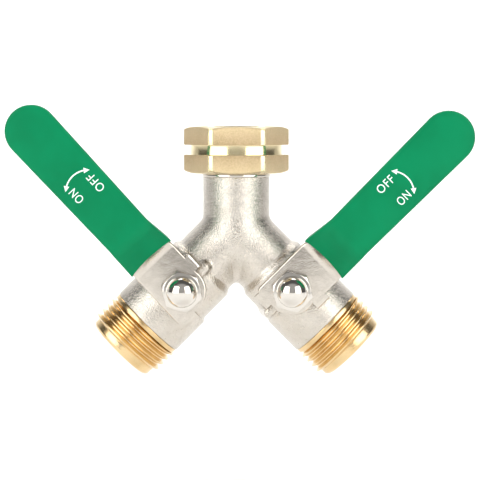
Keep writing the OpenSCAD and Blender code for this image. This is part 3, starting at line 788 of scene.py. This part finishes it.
cap_flat, cap_hex_h, cap_dome_r, cap_dome_h, cap_bore_r, cap_bore_h = 5.98, 4.3, 5.0, 5.2, 3.15, 4.7
cap_low = plate_high + 0.05
for side in SIDES:
    corner_at = 0.0 if side == "left" else math.pi / 6
    cap_angle = hexagon_angles(240, corner_at)
    cap_r = hexagon_radius(cap_angle - corner_at, cap_flat, cap_flat / math.cos(math.pi / 6) - 0.1)
    rim = np.minimum(cap_r - 0.02, cap_flat - 0.05)

    def cap_ring(radius, height):
        return np.stack(np.broadcast_arrays(radius + 0 * cap_r, height + 0 * cap_r), -1)

    dome_a = np.radians(np.linspace(4, 90, 26))
    dome = [cap_ring(cap_dome_r * math.cos(a), cap_hex_h + 0.15 + (cap_dome_h - 0.15) * math.sin(a))
            for a in dome_a]
    cap_line = np.stack([
        cap_ring(0, cap_bore_h), cap_ring(cap_bore_r, cap_bore_h), cap_ring(cap_bore_r, 0),
        cap_ring(cap_flat - 0.2, 0), cap_ring(cap_r, 0.25), cap_ring(cap_r, cap_hex_h - (cap_r - rim) * 0.7),
        cap_ring(rim, cap_hex_h), cap_ring(cap_dome_r + 0.05, cap_hex_h + 0.02), *dome])
    cap_cuts = np.concatenate([[0, 0.1, 0.1, 0.1, 0.15, 0.15, 0.12, 0.1], np.zeros(len(dome))])
    cap_rows = rounded(cap_line, cap_cuts, 3, closed=False)
    cap = make_piece(side + "_dome_nut", [(turned(cap_rows, cap_angle),
                                           grid_faces(len(cap_rows), 241, False))],
                     lever_axes(side), stem_points[side] + np.array([0, -cap_low, 0]), sharp=24)
    show(cap, chrome, valve_body[side], "polished_chrome", side + "_cap_nut")


# --- Printing on the grips ----------------------------------------------------------------
# White ink pad-printed on the vinyl: OFF and ON, reading from the hub towards the tip, and
# a curved double arrow over them that shows the quarter turn between the two.

ink = Shader("white_ink", Roughness=0.45)
ink.set(Base_Color=ink.mix(ink.noise(2500, 3), (0.72, 0.84, 0.80, 1), (0.90, 0.96, 0.94, 1)))
ink_top = plate_high + grip_t + lever_rise
ink_t = 0.03
letter_h = 2.75
off_l, on_l = 6.3, 4.7
arrow_r, arrow_half, arrow_line = 7.2, math.radians(31), 0.46
head_l, head_half, head_turn = 1.75, 0.85, 0.12
OFF_PLACE = {"left": (3.95, 44.25), "right": (-3.70, 45.20)}
ON_PLACE = {"left": (-3.45, 45.25), "right": (3.50, 46.30)}
ARROW_PLACE = {"left": (0.10, 43.5), "right": (-0.20, 44.5)}


def word(text, length, place):
    """Letters (points, faces) that read along the lever, scaled to their length and height."""
    font = bpy.data.curves.new(text, "FONT")
    font.body, font.extrude, font.space_character = text, 1, 1.12
    holder = bpy.data.objects.new(text, font)
    bpy.context.scene.collection.objects.link(holder)
    mesh = bpy.data.meshes.new_from_object(holder.evaluated_get(bpy.context.evaluated_depsgraph_get()))
    bpy.data.objects.remove(holder)
    points = np.empty(len(mesh.vertices) * 3)
    mesh.vertices.foreach_get("co", points)
    points = points.reshape(-1, 3)
    low, high = points.min(0), points.max(0)
    points = (points - (low + high) / 2) / (high - low) * (length, letter_h, ink_t)
    return (np.stack([place[0] - points[:, 1], place[1] + points[:, 0], points[:, 2]], 1),
            [list(p.vertices) for p in mesh.polygons])


def flat_shape(outline):
    """A flat shape as thick as the ink (points, faces), from its outline."""
    n = len(outline)
    points = np.concatenate([np.column_stack([outline, np.full(n, z)]) for z in (-ink_t / 2, ink_t / 2)])
    sides = [[i, (i + 1) % n, (i + 1) % n + n, i + n] for i in range(n)]
    return points, sides + [list(range(n))[::-1], list(range(n, 2 * n))]


def double_arrow(place):
    """The arc and the two heads of a curved arrow, each as (points, faces)."""
    spread = math.degrees(arrow_half)
    arc_line = np.concatenate([
        arc(*place, arrow_r + arrow_line / 2, 90 - spread, 90 + spread, 25),
        arc(*place, arrow_r - arrow_line / 2, 90 + spread, 90 - spread, 25)])
    shapes = [flat_shape(arc_line)]
    for way in (-1, 1):
        a = math.pi / 2 + way * arrow_half
        foot = np.array(place) + arrow_r * np.array([math.cos(a), math.sin(a)])
        along_arc = way * np.array([-math.sin(a), math.cos(a)])
        along_arc = along_arc * math.cos(head_turn) + np.array([0, -1]) * math.sin(head_turn)
        square = np.array([along_arc[1], -along_arc[0]])
        shapes.append(flat_shape(np.stack([foot + square * head_half, foot - square * head_half,
                                           foot + along_arc * head_l])))
    return shapes


for side in SIDES:
    shapes = [word("OFF", off_l, OFF_PLACE[side]), word("ON", on_l, ON_PLACE[side]),
              *double_arrow(ARROW_PLACE[side])]
    points, faces, start = [], [], 0
    for p, f in shapes:
        points.append(p + (0, 0, ink_top))
        faces += [[i + start for i in face] for face in f]
        start += len(p)
    mesh = bpy.data.meshes.new(side + "_print")
    placed = (np.concatenate(points) @ lever_axes(side) + stem_points[side]) * MM
    mesh.from_pydata(placed.tolist(), [], faces)
    show(finish_mesh(side + "_print", mesh, 30), ink, valve_body[side], "green_vinyl")


# --- Studio -------------------------------------------------------------------------------
# A pale floor, low enough for the levers to open over it, that sweeps up into a backdrop with
# its own light, a large softbox on each side of the camera, and a dark arch of sky over the
# fitting, which gives the metal its dark bands.

aim = np.array([0.0012, 0, -0.0361])
camera_away, camera_rise, frame_width = 0.80, math.radians(3.2), 0.1579
camera = bpy.data.objects.new("camera", bpy.data.cameras.new("camera"))
bpy.context.scene.collection.objects.link(camera)
camera.data.lens = 36 * camera_away / frame_width
camera.data.sensor_width = 36
camera.data.clip_end = 20
camera_turn = math.radians(-0.6)
camera.location = aim + camera_away * np.array([math.sin(camera_turn) * math.cos(camera_rise),
                                                -math.cos(camera_turn) * math.cos(camera_rise),
                                                math.sin(camera_rise)])
camera.rotation_euler = (math.pi / 2 - camera_rise, 0, camera_turn)
bpy.context.scene.camera = camera
bpy.context.scene.view_settings.view_transform = "Standard"

floor_gap = 1
open_lever_drop = lever_reach * math.sin(math.radians(45 + over_travel)) + tip_r + grip_t + floor_gap
floor_z = (stem_points["right"][2] - open_lever_drop) * MM
sweep_a = np.linspace(0, math.pi / 2, 24)
sweep_start, sweep_r = 1.0, 0.8
back_y = np.concatenate([[-3, 0], sweep_start + sweep_r * np.sin(sweep_a), [sweep_start + sweep_r]])
back_z = np.concatenate([[0, 0], sweep_r * (1 - np.cos(sweep_a)), [3]]) + floor_z
across = np.array([-3, 3])
sweep = np.stack([np.broadcast_to(across[None], (len(back_y), 2)),
                  np.broadcast_to(back_y[:, None], (len(back_y), 2)),
                  np.broadcast_to(back_z[:, None], (len(back_y), 2))], -1)
floor_mesh = bpy.data.meshes.new("floor")
floor_mesh.from_pydata(sweep.reshape(-1, 3).tolist(), [], grid_faces(len(back_y), 2, False).tolist())
floor_mesh.polygons.foreach_set("use_smooth", np.ones(len(floor_mesh.polygons), bool))
floor = bpy.data.objects.new("floor", floor_mesh)
bpy.context.scene.collection.objects.link(floor)
paper = Shader("paper", Roughness=0.9)
paper.set(Base_Color=paper.mix(paper.noise(3), (0.90, 0.90, 0.90, 1), (0.92, 0.92, 0.92, 1)))
paint(floor, paper)


def soft_light(name, place, target, size, watts):
    """A flat light of a size in metres that shines from place towards target."""
    light = bpy.data.objects.new(name, bpy.data.lights.new(name, "AREA"))
    bpy.context.scene.collection.objects.link(light)
    light.data.shape, light.data.size, light.data.size_y = "RECTANGLE", size[0], size[1]
    light.data.energy = watts
    light.location = place
    away = np.array(place) - np.array(target)
    tilt = math.acos(away[2] / np.linalg.norm(away))
    light.rotation_euler = (tilt, 0, math.atan2(away[1], away[0]) + math.pi / 2)
    light.visible_camera = False
    return light


soft_light("left_softbox", (-0.52, -0.50, 0.27), aim + (0, 0, 0.3), (0.62, 0.72), 3.4)
soft_light("right_softbox", (0.52, -0.50, 0.27), aim + (0, 0, 0.3), (0.62, 0.72), 3.4)
soft_light("floor_light", (0, -1.9, 1.4), (0, -1.9, 0), (2.4, 1.0), 10).visible_glossy = False
soft_light("backdrop_light", (0, 0.7, 1.3), (0, 1.7, 0.2), (2.4, 0.5), 26)
soft_light("top_light", (0, 0.0, 1.2), aim, (1.4, 1.4), 8.5).visible_glossy = False
world = bpy.data.worlds.new("studio")
bpy.context.scene.world = world
world.use_nodes = True
tree = world.node_tree
sky = tree.nodes["Background"]


def sky_node(kind, inputs, **settings):
    """Adds a node to the sky's shader."""
    made = tree.nodes.new(kind)
    for key, value in settings.items():
        setattr(made, key, value)
    for key, value in inputs.items():
        if isinstance(value, bpy.types.NodeSocket):
            tree.links.new(value, made.inputs[key])
        else:
            made.inputs[key].default_value = value
    return made


heading = sky_node("ShaderNodeSeparateXYZ", {0: tree.nodes.new("ShaderNodeTexCoord").outputs["Generated"]})
behind = sky_node("ShaderNodeMapRange", {0: heading.outputs[1], 1: 0.30, 2: 0.50, 3: 0.12, 4: 1.0})
ahead = sky_node("ShaderNodeMapRange", {0: heading.outputs[1], 1: -0.25, 2: -0.45, 3: 0.0, 4: 0.35})
both = sky_node("ShaderNodeMath", {0: behind.outputs[0], 1: ahead.outputs[0]}, operation="ADD")
seen = sky_node("ShaderNodeMath", {0: both.outputs[0],
                                   1: tree.nodes.new("ShaderNodeLightPath").outputs["Is Camera Ray"]},
                operation="MAXIMUM")
tree.links.new(seen.outputs[0], sky.inputs[0])
